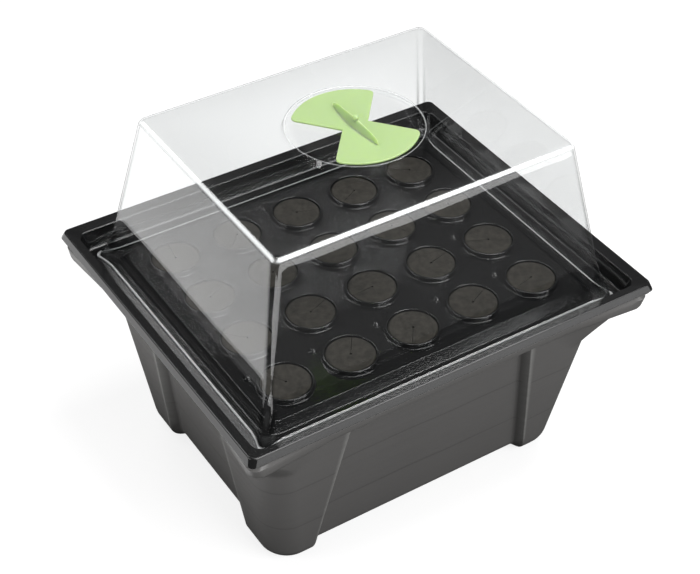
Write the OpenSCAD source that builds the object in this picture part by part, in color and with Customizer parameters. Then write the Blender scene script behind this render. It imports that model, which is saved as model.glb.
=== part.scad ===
// Mist propagator with twenty collar sites: a tank, a planting tray, a clear
// dome with a rotary vent, and the pump and spray manifold inside the tank.
// Millimetres, +Z up, X along the five sites, Y along the four sites.
// The origin is on the floor, under the middle of the tank.

/* [Planting deck] */
// Distance between neighbouring sites
site_pitch = 75; // [62:0.5:95]
// Deck edge beyond the end sites, along X
deck_margin_x = 40.5; // [36:0.5:60]
// Deck edge beyond the end sites, along Y
deck_margin_y = 39; // [36:0.5:60]
// Height of the tray ledge above the floor
ledge_z = 220; // [180:1:290]
// Rise of the deck above the ledge
deck_rise = 7; // [4:0.5:14]
// Wall of the planting tray
tray_wall = 2; // [1.5:0.1:3]

/* [Rim] */
// Width of the ledge that the dome stands on
ledge_w = 24.5; // [20:0.5:36]
// Height of the upright wall round the ledge
basin_h = 22; // [16:0.5:32]
// Width of the sloping rim
rim_w = 12; // [9:0.5:20]
// Fall of the sloping rim towards the ledge
rim_fall = 4; // [2:0.5:7]
// Height of the turned-down lip
lip_h = 9; // [6:0.5:14]
// Corner radius of the rim
rim_r = 6; // [4:0.5:12]

/* [Collars] */
// Diameter of a foam collar
collar_d = 51.5; // [40:0.5:54]
// Thickness of a foam collar
collar_h = 21; // [15:0.5:26]
// Gap all round a collar in its cup
collar_gap = 0.4; // [0.2:0.05:0.8]
// Height of the ring round a site, above the deck
ring_h = 5.5; // [3:0.5:8]
// Wall of a cup and its ring
cup_wall = 2.4; // [1.8:0.1:3.2]
// Width of the step that a collar rests on
cup_step = 5; // [3:0.5:7]
// Diameter of the domed pip beside a site
pip_d = 9; // [6:0.5:10]

/* [Tank] */
// Wall of the tank
tank_wall = 3; // [2:0.1:4]
// Inward lean of each tank wall, from the ledge to the floor
tank_draft = 30.5; // [18:0.5:40]
// Corner radius of the corner columns
column_r = 32; // [24:1:44]
// Radius of the tank's bottom edge
bottom_r = 20; // [16:1:26]
// Depth of the recessed side panels
recess_d = 11; // [6:0.5:13]
// Width of a corner column at the floor, along X
column_foot_x = 43; // [36:1:60]
// Width of a corner column at the floor, along Y
column_foot_y = 58; // [46:1:76]
// Width of a corner column under the rim, along X
column_top_x = 106; // [80:1:120]
// Width of a corner column under the rim, along Y
column_top_y = 109; // [86:1:118]
// Height of the feet below the tank's base
foot_h = 3; // [2:0.5:5]
// Depth that the corner gussets reach below the ledge
gusset_h = 58; // [40:1:90]

/* [Dome] */
// Height of the dome from the ledge to the roof
dome_h = 184; // [140:1:230]
// Wall of the dome
dome_wall = 1.6; // [1.2:0.1:2.5]
// Inward lean of each dome wall
dome_draft = 35; // [24:0.5:44]
// Gap between the dome's foot and the basin wall
dome_foot_gap = 15; // [8:0.5:17]
// Upright corner radius of the dome
dome_r = 14; // [9:0.5:22]
// Radius of the roof edge
roof_r = 6; // [3:0.5:9]

/* [Vent] */
// Diameter of the ring round the vent
vent_d = 141; // [110:1:160]
// Rise of the vent seat above the roof
seat_rise = 5; // [3:0.5:8]
// Height of the ring round the vent
vent_ring_h = 2.6; // [1.5:0.1:4]
// Thickness of the vent disc
vent_t = 2.2; // [1.6:0.1:3]
// Height of the pinch fin
fin_h = 8; // [6:0.5:12]
// Diameter of the vent's pivot
pivot_d = 8; // [6:0.5:12]

/* [Pump and manifold] */
// Height of the spray bars above the floor
bar_z = 130; // [110:1:146]
// Outer diameter of the manifold pipes
pipe_d = 16; // [12:0.5:20]
// Wall of the manifold pipes
pipe_wall = 1.6; // [1.2:0.1:2.2]
// Distance between the two spray bars
bar_gap = 120; // [90:1:150]
// Length of each half of a spray bar
bar_l = 92; // [70:1:100]
// Diameter of the magnet rotor
rotor_d = 20; // [16:0.5:24]
// Diameter of the rotor's shaft
shaft_d = 3; // [2:0.5:4]

/* [Hidden] */
$fn = 64;
eps = 0.01;
// Sites along X and along Y, one collar node each
nx = 5;
ny = 4;

// Half sizes of the deck; every outline of the tray, tank and dome is this
// pair with one offset added all round
deck_x = (nx - 1) * site_pitch / 2 + deck_margin_x;
deck_y = (ny - 1) * site_pitch / 2 + deck_margin_y;
slope_w = 9.5;
ledge_in = slope_w;
ledge_out = ledge_in + ledge_w;
basin_lean = 2.5;
rim_in = ledge_out + basin_lean;
rim_out = rim_in + rim_w;
lip_lean = 2.5 / 9;
lip_out = rim_out + lip_lean * lip_h;

// Heights of the tray
deck_z = ledge_z + deck_rise;
fold_z = ledge_z + basin_h;
rim_z = fold_z + rim_fall;
lip_z = rim_z - lip_h;
shelf_z = ledge_z - tray_wall;
ring_z = deck_z + ring_h;
collar_z = ring_z - 1;
cup_r = collar_d / 2 + collar_gap;
seat_z = collar_z - collar_h;

// Offset of the lip's outer face at a height
function lip_at(z) = rim_out + lip_lean * (rim_z - z);

// Corner radii
deck_r = 14;
ledge_r = 12;

// Offsets and shape of the tank: its wall stands inside the edge of the ledge,
// and the tray's rim rests on the flange round its top
tank_inset = 12;
tank_top = ledge_out - tank_inset;
tank_foot = tank_top - tank_draft;
core_r = bottom_r - 6;
floor_t = 3;
tank_floor = foot_h + floor_t;
nest_gap = 0.5;
flange_z = fold_z - tray_wall;
flange_drop = 3;
nest_in = ledge_out + tray_wall + nest_gap;
nest_out = rim_in + tray_wall + nest_gap;
recess_slant = 6;
web_r = 6;
web_drop = 14;
web_inset = 4;

// Dome and vent; the vent's plate lies a little above its seat
dome_foot = ledge_out - dome_foot_gap - 2;
dome_top = dome_foot - dome_draft;
roof_z = ledge_z + dome_h;
vent_seat_z = roof_z + seat_rise;
pivot_gap = 0.1;
lift_gap = 0.3;
flange_t = 2;
flange_w = 2.2;
flare_h = 50;
foot_r = 6;
lug_r = 10;
hub_r = 20;
seat_flare = 4;
opening_half = 42;
clip_t = 3;
clip_z = vent_seat_z - dome_wall - lift_gap - clip_t;

// Pump: its axis runs along X, and its cover and strainer face -X
cup_h = 7;
cup_peg_d = 5;
cup_peg_l = 4;
pump_w = 44;
pump_h = 46;
pump_l = 54;
pump_x0 = -14;
pump_x1 = pump_x0 + pump_l;
pump_z = tank_floor + cup_h;
axis_z = pump_z + pump_h / 2;
cover_l = 18;
cover_x = pump_x0 - cover_l;
cover_wall = 4;
chamber_d = rotor_d + 12;
strainer_l = 22;
strainer_wall = 2;
rotor_l = 30;
rotor_gap = 0.8;
hub_wall = 2.5;
fit = 0.04;
shaft_run = 0.06;
shaft_x0 = cover_x + 1;
shaft_x1 = pump_x0 + rotor_l + 5;
gland_d = 8;
gland_in = 6;
lead_d = 5;
cup_places = [for (x = [pump_x0 + 10, pump_x1 - 8], y = [-14, 14]) [x, y]];

// Manifold: a riser over the pump's spigot feeds two bars along X
spigot_x = pump_x0 - cover_l / 2;
spigot_d = pipe_d - 2 * pipe_wall;
spigot_wall = 1.6;
spigot_top = pump_z + pump_h + 18;
socket_wall = 2;
socket_l = 12;
tee_r = pipe_d / 2 + socket_wall;
tee_reach = pipe_d / 2 + socket_l + 3;
pipe_in = tee_reach - socket_l;
cap_end = 2;
nozzle_d = 5;

// Rounded rectangle whose half sizes are the deck's plus an offset
module outline(grow, r) {
    hx = deck_x + grow;
    hy = deck_y + grow;
    square([2 * hx - 2 * r, 2 * hy], center = true);
    square([2 * hx, 2 * hy - 2 * r], center = true);
    for (sx = [-1, 1], sy = [-1, 1]) translate([sx * (hx - r), sy * (hy - r)]) circle(r);
}

// Block between two heights, with one offset at its foot and one at its top
module block(z0, z1, grow0, grow1, r) {
    translate([0, 0, z0])
        linear_extrude(z1 - z0, slices = 1, scale = [
            (deck_x + grow1) / (deck_x + grow0),
            (deck_y + grow1) / (deck_y + grow0)
        ]) outline(grow0, r, $fn = 32);
}

// Thin slice of an outline, for hulls
module slice(z, grow, r) {
    translate([0, 0, z]) linear_extrude(eps) outline(grow, r, $fn = 32);
}

// Round tube along Z with open ends
module tube(d, wall, h) {
    difference() {
        cylinder(d = d, h = h);
        translate([0, 0, -1]) cylinder(d = d - 2 * wall, h = h + 2);
    }
}

// ---- Tank ----

// Tub with leaning walls and a rounded bottom edge
module tub(z0, foot, top, r_bottom, r_corner) {
    hull() {
        for (a = [0 : 22.5 : 90])
            slice(z0 + r_bottom * (1 - cos(a)),
                foot - r_bottom * (1 - sin(a)) + tank_draft * r_bottom * (1 - cos(a)) / ledge_z,
                max(r_corner - r_bottom * (1 - sin(a)), 4));
        slice(shelf_z - eps, top, r_corner);
    }
}

// Half widths of the recessed panels at the floor and under the rim
panel_foot_x = deck_x + tank_foot - column_foot_x;
panel_foot_y = deck_y + tank_foot - column_foot_y;
panel_top_x = deck_x + tank_top - column_top_x;
panel_top_y = deck_y + tank_top - column_top_y;

// Wedge that cuts one recessed panel; a positive skin makes it larger
module recess(half_foot, half_top, face_d, skin) {
    lean = atan(tank_draft / ledge_z);
    reach = shelf_z / cos(lean) + 4;
    below = bottom_r + 14;
    proud = 12;
    depth = recess_d + skin;
    foot = half_foot - recess_slant + skin;
    top = half_top - recess_slant + skin;
    translate([0, -(face_d - depth), 0]) rotate([90 + lean, 0, 0])
        linear_extrude(depth + proud, slices = 1, scale = 1 + recess_slant * (depth + proud) / (depth * foot))
            polygon([[-foot, -below], [foot, -below], [top, reach], [-top, reach]]);
}

// The four recessed panels
module recesses(skin) {
    for (a = [0, 180]) rotate(a) recess(panel_foot_x, panel_top_x, deck_y + tank_foot, skin);
    for (a = [90, 270]) rotate(a) recess(panel_foot_y, panel_top_y, deck_x + tank_foot, skin);
}

// Web under a corner of the rim, down to the corner column
module gusset(sx, sy) {
    at = ledge_z - gusset_h;
    grow = tank_top - tank_draft * gusset_h / ledge_z;
    at_rim = lip_out - rim_r - web_inset;
    hull() {
        translate([sx * (deck_x + at_rim), sy * (deck_y + at_rim), lip_z - 1])
            cylinder(r = rim_r, h = 3, $fn = 32);
        translate([sx * (deck_x + grow - column_r), sy * (deck_y + grow - column_r), at])
            cylinder(r = column_r, h = eps, $fn = 32);
        for (p = [
            [panel_top_x, deck_y + tank_top - web_r],
            [deck_x + tank_top - web_r, panel_top_y]
        ])
            translate([sx * p[0], sy * p[1], lip_z - web_drop]) cylinder(r = web_r, h = web_drop, $fn = 16);
    }
}

// Space inside the tank and its rim
module tank_inside() {
    difference() {
        tub(tank_floor, tank_foot - tank_wall, tank_top - tank_wall, bottom_r, column_r - tank_wall);
        recesses(tank_wall);
    }
    translate([0, 0, shelf_z - tank_wall - 1])
        linear_extrude(tank_wall + 2) outline(tank_top - tank_wall - recess_d, column_r - tank_wall);
    block(shelf_z, fold_z, nest_in, nest_out, ledge_r);
}

// Flange that carries the tray's rim, with its own turned-down lip
module tank_rim() {
    w = tray_wall;
    z0 = lip_z - flange_drop;
    skin = tray_wall + nest_gap;
    difference() {
        union() {
            block(shelf_z - tank_wall, flange_z, nest_in + tank_wall, nest_out + tank_wall, ledge_r);
            block(z0, flange_z, lip_at(z0) - skin, lip_at(flange_z) - skin, rim_r);
        }
        difference() {
            block(z0 - 1, flange_z - w, lip_at(z0 - 1) - skin - w, lip_at(flange_z - w) - skin - w, rim_r);
            block(shelf_z - tank_wall - 1, flange_z, nest_in + tank_wall, nest_out + tank_wall, ledge_r);
        }
    }
}

module tank() {
    color([0.36, 0.35, 0.35])
    difference() {
        union() {
            difference() {
                tub(0, tank_foot, tank_top, bottom_r, column_r);
                difference() {
                    recesses(0);
                    tub(foot_h, tank_foot - recess_d, tank_top - recess_d, core_r, column_r - recess_d);
                }
                translate([-panel_foot_x, -deck_y * 2, -1]) cube([2 * panel_foot_x, deck_y * 4, foot_h + 1]);
                translate([-deck_x * 2, -panel_foot_y, -1]) cube([deck_x * 4, 2 * panel_foot_y, foot_h + 1]);
            }
            tank_rim();
            for (sx = [-1, 1], sy = [-1, 1]) gusset(sx, sy);
        }
        tank_inside();
    }
}

// ---- Planting tray ----

// Centre of a site, counted from 0 along X first
function site(n) = [
    (n % nx - (nx - 1) / 2) * site_pitch,
    (floor(n / nx) - (ny - 1) / 2) * site_pitch
];

// Pan with its ledge, its raised deck and its turned-down rim
module tray_pan() {
    w = tray_wall;
    rim_edge = 0.6;
    difference() {
        union() {
            block(lip_z, rim_z, lip_out, rim_out, rim_r);
            block(ledge_z - w, fold_z, ledge_out + w, rim_in + w, ledge_r);
        }
        difference() {
            block(lip_z - 1, flange_z, lip_at(lip_z - 1) - w, lip_at(flange_z) - w, rim_r);
            block(ledge_z - w - 1, fold_z + 1, ledge_out + w, rim_in + w, ledge_r);
        }
        difference() {
            union() {
                block(fold_z, rim_z + eps, rim_in, rim_out - rim_edge, rim_r);
                block(ledge_z, fold_z + eps, ledge_out, rim_in, ledge_r);
            }
            block(ledge_z - 1, deck_z, ledge_in, 0, deck_r);
        }
        block(ledge_z - w - 1, deck_z - w, ledge_in - w, -w, deck_r);
    }
}

module site_tray() {
    pip = site_pitch * 0.36;
    color([0.13, 0.13, 0.13])
    difference() {
        union() {
            tray_pan();
            for (n = [0 : nx * ny - 1]) translate(site(n)) {
                translate([0, 0, seat_z - tray_wall])
                    cylinder(r = cup_r + cup_wall, h = ring_z - seat_z + tray_wall);
                translate([-pip, pip, deck_z - 1]) intersection() {
                    translate([0, 0, -pip_d * 0.12]) sphere(d = pip_d, $fn = 32);
                    cylinder(d = pip_d, h = pip_d);
                }
            }
        }
        for (n = [0 : nx * ny - 1]) translate(site(n)) {
            translate([0, 0, seat_z]) cylinder(r = cup_r, h = ring_z);
            translate([0, 0, seat_z - tray_wall - 1]) cylinder(r = cup_r - cup_step, h = ring_z);
        }
    }
}

// ---- Collars ----

// Foam collar for one site, slit from its centre to its edge
module collar(n) {
    hole_d = 3;
    slit_w = 0.6;
    color([0.27, 0.25, 0.24])
    translate([site(n)[0], site(n)[1], seat_z]) difference() {
        cylinder(d = collar_d, h = collar_h);
        translate([0, 0, -1]) cylinder(d = hole_d, h = collar_h + 2);
        rotate(-60) translate([0, -slit_w / 2, -1]) cube([collar_d, slit_w, collar_h + 2]);
    }
}

// ---- Dome ----

// Closed form of the dome; a positive skin makes it smaller all round
module dome_form(skin) {
    break_z = ledge_z + flare_h;
    at_break = dome_foot - dome_draft * flare_h / dome_h - skin;
    top = roof_z - skin;
    r = max(roof_r - skin, 1);
    hull() {
        for (a = [0 : 22.5 : 90])
            slice(top - eps - r * (1 - sin(a)),
                dome_top - skin - r * (1 - cos(a)) + dome_draft * r * (1 - sin(a)) / dome_h,
                max(dome_r - skin - r * (1 - cos(a)), 3));
        slice(break_z, at_break, dome_r - skin);
    }
    hull() {
        slice(break_z, at_break, dome_r - skin);
        slice(ledge_z - (skin > 0 ? eps : 0), dome_foot - skin, foot_r);
    }
}

// Raised round seat of the vent, less a skin
module vent_seat(skin) {
    root = 2;
    translate([0, 0, roof_z - root])
        cylinder(r1 = vent_d / 2 + seat_flare - skin, r2 = vent_d / 2 - skin, h = seat_rise + root - skin);
}

// Sector between two radii, pointing along +Y
module sector(r0, r1, half, h) {
    far = r1 * 2;
    linear_extrude(h) intersection() {
        difference() {
            circle(r1);
            circle(r0);
        }
        polygon([[0, 0], [far * sin(half), far * cos(half)], [0, far * 2], [-far * sin(half), far * cos(half)]]);
    }
}

module dome() {
    open_r = vent_d / 2 - 11;
    lug_at = dome_foot - lug_r / 2;
    color([0.86, 0.9, 0.92, 0.3])
    difference() {
        union() {
            dome_form(0);
            vent_seat(0);
            translate([0, 0, vent_seat_z - eps]) tube(vent_d, 2, vent_ring_h);
            translate([0, 0, ledge_z]) linear_extrude(flange_t) outline(dome_foot + flange_w, foot_r + flange_w);
            for (sx = [-1, 1], sy = [-1, 1])
                translate([sx * (deck_x + lug_at), sy * (deck_y + lug_at), ledge_z])
                    cylinder(r = lug_r, h = flange_t + 1);
        }
        dome_form(dome_wall);
        vent_seat(dome_wall);
        for (a = [0, 180]) rotate(a)
            translate([0, 0, roof_z - 1]) sector(hub_r, open_r, opening_half, seat_rise + 4);
        translate([0, 0, roof_z - 1]) cylinder(d = pivot_d + 2 * pivot_gap, h = seat_rise + 4);
    }
}

// ---- Vent ----

// Bow-tie plate: two blades joined at the hub
module vent_plate() {
    blade_r = vent_d / 2 - 6;
    tip = blade_r * 1.6;
    waist = 15;
    intersection() {
        circle(blade_r, $fn = 128);
        union() {
            for (s = [-1, 1])
                polygon([[-waist, 0], [-waist - tip * 0.62, s * tip * 0.72], [0, s * tip * 1.6],
                    [waist + tip * 0.62, s * tip * 0.72], [waist, 0]]);
            circle(waist);
        }
    }
}

module vent_disc() {
    fin_l = vent_d * 0.58;
    fin_w = 9;
    lens_r = (fin_l * fin_l + fin_w * fin_w) / (4 * fin_w);
    z = vent_seat_z + lift_gap;
    color([0.71, 0.93, 0.55])
    union() {
        translate([0, 0, z]) linear_extrude(vent_t) vent_plate();
        translate([0, 0, z + vent_t - eps]) linear_extrude(fin_h) intersection() {
            translate([lens_r - fin_w / 2, 0]) circle(lens_r, $fn = 128);
            translate([fin_w / 2 - lens_r, 0]) circle(lens_r, $fn = 128);
        }
        translate([0, 0, z + vent_t + fin_h]) sphere(d = fin_w * 0.8, $fn = 32);
        translate([0, 0, clip_z - 1]) cylinder(d = pivot_d, h = z - clip_z + 2);
    }
}

module vent_clip() {
    clip_d = pivot_d + 12;
    color([0.71, 0.93, 0.55])
    translate([0, 0, clip_z]) difference() {
        cylinder(d = clip_d, h = clip_t);
        translate([0, 0, -1]) cylinder(d = pivot_d + 2 * fit, h = clip_t + 2);
    }
}

// ---- Pump ----

// Upright box with rounded vertical edges, from x0 to x1
module pump_box(x0, x1, z0, z1, w, r) {
    translate([x0, -w / 2, z0]) linear_extrude(z1 - z0) {
        translate([r, 0]) square([x1 - x0 - 2 * r, w]);
        translate([0, r]) square([x1 - x0, w - 2 * r]);
        for (x = [r, x1 - x0 - r], y = [r, w - r]) translate([x, y]) circle(r);
    }
}

// Rod along X from x0 to x1 on the pump's axis
module rod(x0, x1, d) {
    translate([x0, 0, axis_z]) rotate([0, 90, 0]) cylinder(d = d, h = x1 - x0);
}

module pump_body() {
    corner = 5;
    color([0.16, 0.17, 0.19])
    difference() {
        pump_box(pump_x0, pump_x1, pump_z, pump_z + pump_h, pump_w, corner);
        rod(pump_x0 - 1, pump_x0 + rotor_l + 1, rotor_d + 2 * rotor_gap);
        rod(pump_x0, shaft_x1, shaft_d + 2 * fit);
        rod(pump_x1 - gland_in, pump_x1 + 1, gland_d + 2 * fit);
        for (p = cup_places) translate([p[0], p[1], pump_z - 1])
            cylinder(d = cup_peg_d + 2 * fit, h = cup_peg_l + 1);
    }
}

module pump_cover() {
    corner = 3;
    inlet_d = 12;
    spider_l = 2;
    color([0.16, 0.17, 0.19])
    difference() {
        union() {
            pump_box(cover_x, pump_x0, pump_z, pump_z + pump_h, pump_w, corner);
            translate([spigot_x, 0, pump_z + pump_h - eps])
                cylinder(d = spigot_d, h = spigot_top - pump_z - pump_h);
        }
        rod(cover_x + cover_wall, pump_x0 + 1, chamber_d);
        difference() {
            rod(cover_x - 1, cover_x + cover_wall + 1, inlet_d);
            rod(cover_x, cover_x + cover_wall + 1, shaft_d + 4);
            translate([cover_x, -inlet_d / 2, axis_z - spider_l / 2]) cube([spider_l, inlet_d, spider_l]);
        }
        rod(shaft_x0, cover_x + cover_wall + 2, shaft_d + 2 * fit);
        translate([spigot_x, 0, axis_z]) cylinder(d = spigot_d - 2 * spigot_wall, h = spigot_top);
    }
}

module pump_strainer() {
    corner = 4;
    slots = 6;
    slot_w = 2.4;
    border = 7;
    x0 = cover_x - strainer_l;
    step = (pump_w - 2 * border) / (slots - 1);
    color([0.1, 0.1, 0.11])
    difference() {
        pump_box(x0, cover_x, pump_z, pump_z + pump_h, pump_w, corner);
        translate([x0 + strainer_wall, strainer_wall - pump_w / 2, pump_z + strainer_wall])
            cube([strainer_l, pump_w - 2 * strainer_wall, pump_h - 2 * strainer_wall]);
        for (k = [0 : slots - 1])
            translate([x0 - 1, border - pump_w / 2 + k * step - slot_w / 2, pump_z + border])
                cube([2 * strainer_wall, slot_w, pump_h - 2 * border]);
    }
}

module impeller() {
    blades = 4;
    blade_t = 1.6;
    blade_r = rotor_d / 2 + 3;
    blade_x = cover_x + cover_wall + 3;
    hub_x = blade_x - 1;
    color([0.85, 0.86, 0.88])
    difference() {
        union() {
            rod(pump_x0 + 1, pump_x0 + rotor_l, rotor_d);
            rod(hub_x, pump_x0 + 1, shaft_d + 2 * hub_wall);
            for (k = [0 : blades - 1])
                translate([blade_x, 0, axis_z]) rotate([k * 360 / blades, 0, 0])
                    translate([0, -blade_t / 2, 0]) cube([pump_x0 - blade_x - 1, blade_t, blade_r]);
        }
        rod(hub_x - 1, pump_x0 + rotor_l + 1, shaft_d + 2 * shaft_run);
    }
}

module impeller_shaft() {
    color([0.93, 0.93, 0.9]) rod(shaft_x0, shaft_x1, shaft_d);
}

module suction_cups() {
    sole_d = 17;
    neck_d = 7;
    color([0.12, 0.12, 0.13])
    for (p = cup_places) translate([p[0], p[1], tank_floor]) {
        cylinder(d1 = sole_d, d2 = neck_d, h = cup_h);
        translate([0, 0, cup_h - eps]) cylinder(d = cup_peg_d, h = cup_peg_l);
    }
}

module cable_gland() {
    collar_t = 3;
    relief_l = 18;
    color([0.1, 0.1, 0.1])
    difference() {
        union() {
            rod(pump_x1 - gland_in, pump_x1 + eps, gland_d);
            rod(pump_x1, pump_x1 + collar_t, gland_d + 6);
            translate([pump_x1 + collar_t - eps, 0, axis_z]) rotate([0, 90, 0])
                cylinder(d1 = gland_d + 3, d2 = gland_d, h = relief_l);
        }
        rod(pump_x1 - gland_in + 1, pump_x1 + collar_t + relief_l + 1, lead_d);
    }
}

// ---- Spray manifold ----

along_x = [[0, 90, 0], [0, -90, 0]];
along_y = [[90, 0, 0], [-90, 0, 0]];

// Tee with a socket at each end of its run and on its branch
module tee(run, branch) {
    ends = concat(run, branch);
    difference() {
        union() {
            for (d = ends) rotate(d) cylinder(r = tee_r, h = tee_reach);
            sphere(r = tee_r);
        }
        for (d = ends) rotate(d) {
            cylinder(d = pipe_d - 2 * pipe_wall, h = tee_reach + 1);
            translate([0, 0, pipe_in]) cylinder(d = pipe_d + 2 * fit, h = socket_l + 1);
        }
    }
}

module riser_pipe() {
    z0 = pump_z + pump_h;
    color([0.2, 0.2, 0.21])
    translate([spigot_x, 0, z0]) tube(pipe_d, pipe_wall - fit, bar_z - pipe_in - z0);
}

module manifold_tee() {
    color([0.14, 0.14, 0.15]) translate([spigot_x, 0, bar_z]) tee(along_y, [[0, 180, 0]]);
}

module cross_pipes() {
    l = bar_gap / 2 - 2 * pipe_in;
    color([0.2, 0.2, 0.21])
    for (s = [-1, 1]) translate([spigot_x, s * pipe_in, bar_z]) rotate([-90 * s, 0, 0]) tube(pipe_d, pipe_wall, l);
}

module bar_tees() {
    color([0.14, 0.14, 0.15])
    for (s = [-1, 1]) translate([spigot_x, s * bar_gap / 2, bar_z]) tee(along_x, [[90 * s, 0, 0]]);
}

// Places of the spray heads along one half of a bar
function heads() = [bar_l * 0.42, bar_l * 0.82];

module spray_bars() {
    color([0.2, 0.2, 0.21])
    for (s = [-1, 1], t = [-1, 1])
        translate([spigot_x + t * pipe_in, s * bar_gap / 2, bar_z]) rotate([0, 90 * t, 0]) difference() {
            tube(pipe_d, pipe_wall, bar_l);
            for (x = heads()) translate([0, 0, x]) rotate([0, -90 * t, 0])
                cylinder(d = nozzle_d + 2 * fit, h = pipe_d);
        }
}

module end_caps() {
    color([0.14, 0.14, 0.15])
    for (s = [-1, 1], t = [-1, 1])
        translate([spigot_x + t * (pipe_in + bar_l), s * bar_gap / 2, bar_z]) rotate([0, 90 * t, 0]) difference() {
            translate([0, 0, cap_end - socket_l]) cylinder(r = tee_r, h = socket_l);
            translate([0, 0, -socket_l - 1]) cylinder(d = pipe_d + 2 * fit, h = socket_l + 1);
        }
}

// Screw-in spray heads: a hollow stem, a hexagon and a slotted cone
module spray_nozzles() {
    hex_d = 9;
    hex_h = 5;
    cone_h = 6;
    jet_d = 1.4;
    slot_w = 1.6;
    stem_z = pipe_d / 2 - pipe_wall;
    hex_z = pipe_d / 2 + 0.5;
    color([0.75, 0.2, 0.18])
    for (s = [-1, 1], t = [-1, 1], x = heads())
        translate([spigot_x + t * (pipe_in + x), s * bar_gap / 2, bar_z]) difference() {
            union() {
                translate([0, 0, stem_z]) cylinder(d = nozzle_d, h = hex_z - stem_z + 1);
                translate([0, 0, hex_z]) cylinder(d = hex_d, h = hex_h, $fn = 6);
                translate([0, 0, hex_z + hex_h - eps]) cylinder(d1 = 7, d2 = 4, h = cone_h);
            }
            translate([0, 0, stem_z - 1]) cylinder(d = jet_d, h = hex_z + hex_h + cone_h);
            translate([-hex_d / 2, -slot_w / 2, hex_z + hex_h + 2]) cube([hex_d, slot_w, slot_w]);
        }
}

tank();
site_tray();
dome();
vent_disc();
vent_clip();
collar(0);  // collar_01
collar(1);  // collar_02
collar(2);  // collar_03
collar(3);  // collar_04
collar(4);  // collar_05
collar(5);  // collar_06
collar(6);  // collar_07
collar(7);  // collar_08
collar(8);  // collar_09
collar(9);  // collar_10
collar(10);  // collar_11
collar(11);  // collar_12
collar(12);  // collar_13
collar(13);  // collar_14
collar(14);  // collar_15
collar(15);  // collar_16
collar(16);  // collar_17
collar(17);  // collar_18
collar(18);  // collar_19
collar(19);  // collar_20
pump_body();
pump_cover();
pump_strainer();
impeller();
impeller_shaft();
suction_cups();
cable_gland();
riser_pipe();
manifold_tee();
cross_pipes();
bar_tees();
spray_bars();
end_caps();
spray_nozzles();
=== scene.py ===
"""Looks of the humidity dome propagator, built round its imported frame.

Sizes are in millimetres until a mesh is made. The tank, the planting tray, the
dome, the vent and the collars are rebuilt as smooth moulded shells; the pump and
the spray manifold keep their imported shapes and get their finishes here.
"""

import logging
import math
import random
from collections.abc import Callable, Iterable, Sequence
from dataclasses import dataclass
from enum import Enum

import bpy
import bmesh
from mathutils import Matrix, Vector
from mathutils.geometry import delaunay_2d_cdt


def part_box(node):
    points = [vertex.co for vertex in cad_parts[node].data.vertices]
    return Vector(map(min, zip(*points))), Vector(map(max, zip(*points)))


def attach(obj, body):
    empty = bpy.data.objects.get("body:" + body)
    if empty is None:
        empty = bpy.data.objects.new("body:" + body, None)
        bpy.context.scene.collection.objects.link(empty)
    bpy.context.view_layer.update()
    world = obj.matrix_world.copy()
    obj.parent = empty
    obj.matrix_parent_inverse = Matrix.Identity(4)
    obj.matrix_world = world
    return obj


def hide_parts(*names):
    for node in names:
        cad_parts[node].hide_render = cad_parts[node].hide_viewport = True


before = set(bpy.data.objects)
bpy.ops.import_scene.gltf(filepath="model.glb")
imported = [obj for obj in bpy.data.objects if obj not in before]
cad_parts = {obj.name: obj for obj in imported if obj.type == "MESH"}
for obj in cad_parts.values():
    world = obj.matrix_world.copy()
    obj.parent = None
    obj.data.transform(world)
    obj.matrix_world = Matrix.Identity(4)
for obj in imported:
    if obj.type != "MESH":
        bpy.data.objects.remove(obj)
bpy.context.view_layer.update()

LOG = logging.getLogger("propagator")
MM = 0.001

Point = tuple[float, float, float]
Flat = tuple[float, float]
Colour = tuple[float, float, float]


# ---- Shader maths ----


class Socket:
    """An output socket that grows Math nodes when it is used in an expression."""

    def __init__(self, shader: "Shader", output: bpy.types.NodeSocket) -> None:
        """Wraps one output.

        Args:
            shader: The shader that the output belongs to.
            output: The node's output socket.
        """
        self.shader = shader
        self.output = output

    def math(self, operation: str, *values: "Socket | float") -> "Socket":
        """Adds one Math node.

        Args:
            operation: The Math node's operation.
            values: Its inputs in order.

        Returns:
            The result as a new socket.
        """
        return self.shader.node("ShaderNodeMath", {"operation": operation}, dict(enumerate(values)))

    def __add__(self, other: "Socket | float") -> "Socket":
        """Returns the sum."""
        return self.math("ADD", self, other)

    __radd__ = __add__

    def __sub__(self, other: "Socket | float") -> "Socket":
        """Returns the difference."""
        return self.math("SUBTRACT", self, other)

    def __rsub__(self, other: float) -> "Socket":
        """Returns the difference from a number."""
        return self.math("SUBTRACT", other, self)

    def __mul__(self, other: "Socket | float") -> "Socket":
        """Returns the product."""
        return self.math("MULTIPLY", self, other)

    __rmul__ = __mul__

    def __truediv__(self, other: "Socket | float") -> "Socket":
        """Returns the quotient."""
        return self.math("DIVIDE", self, other)

    def __pow__(self, other: float) -> "Socket":
        """Returns the power."""
        return self.math("POWER", self, other)

    def clamped(self) -> "Socket":
        """Returns the value held between 0 and 1."""
        return self.shader.node("ShaderNodeClamp", {}, {"Value": self})


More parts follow.
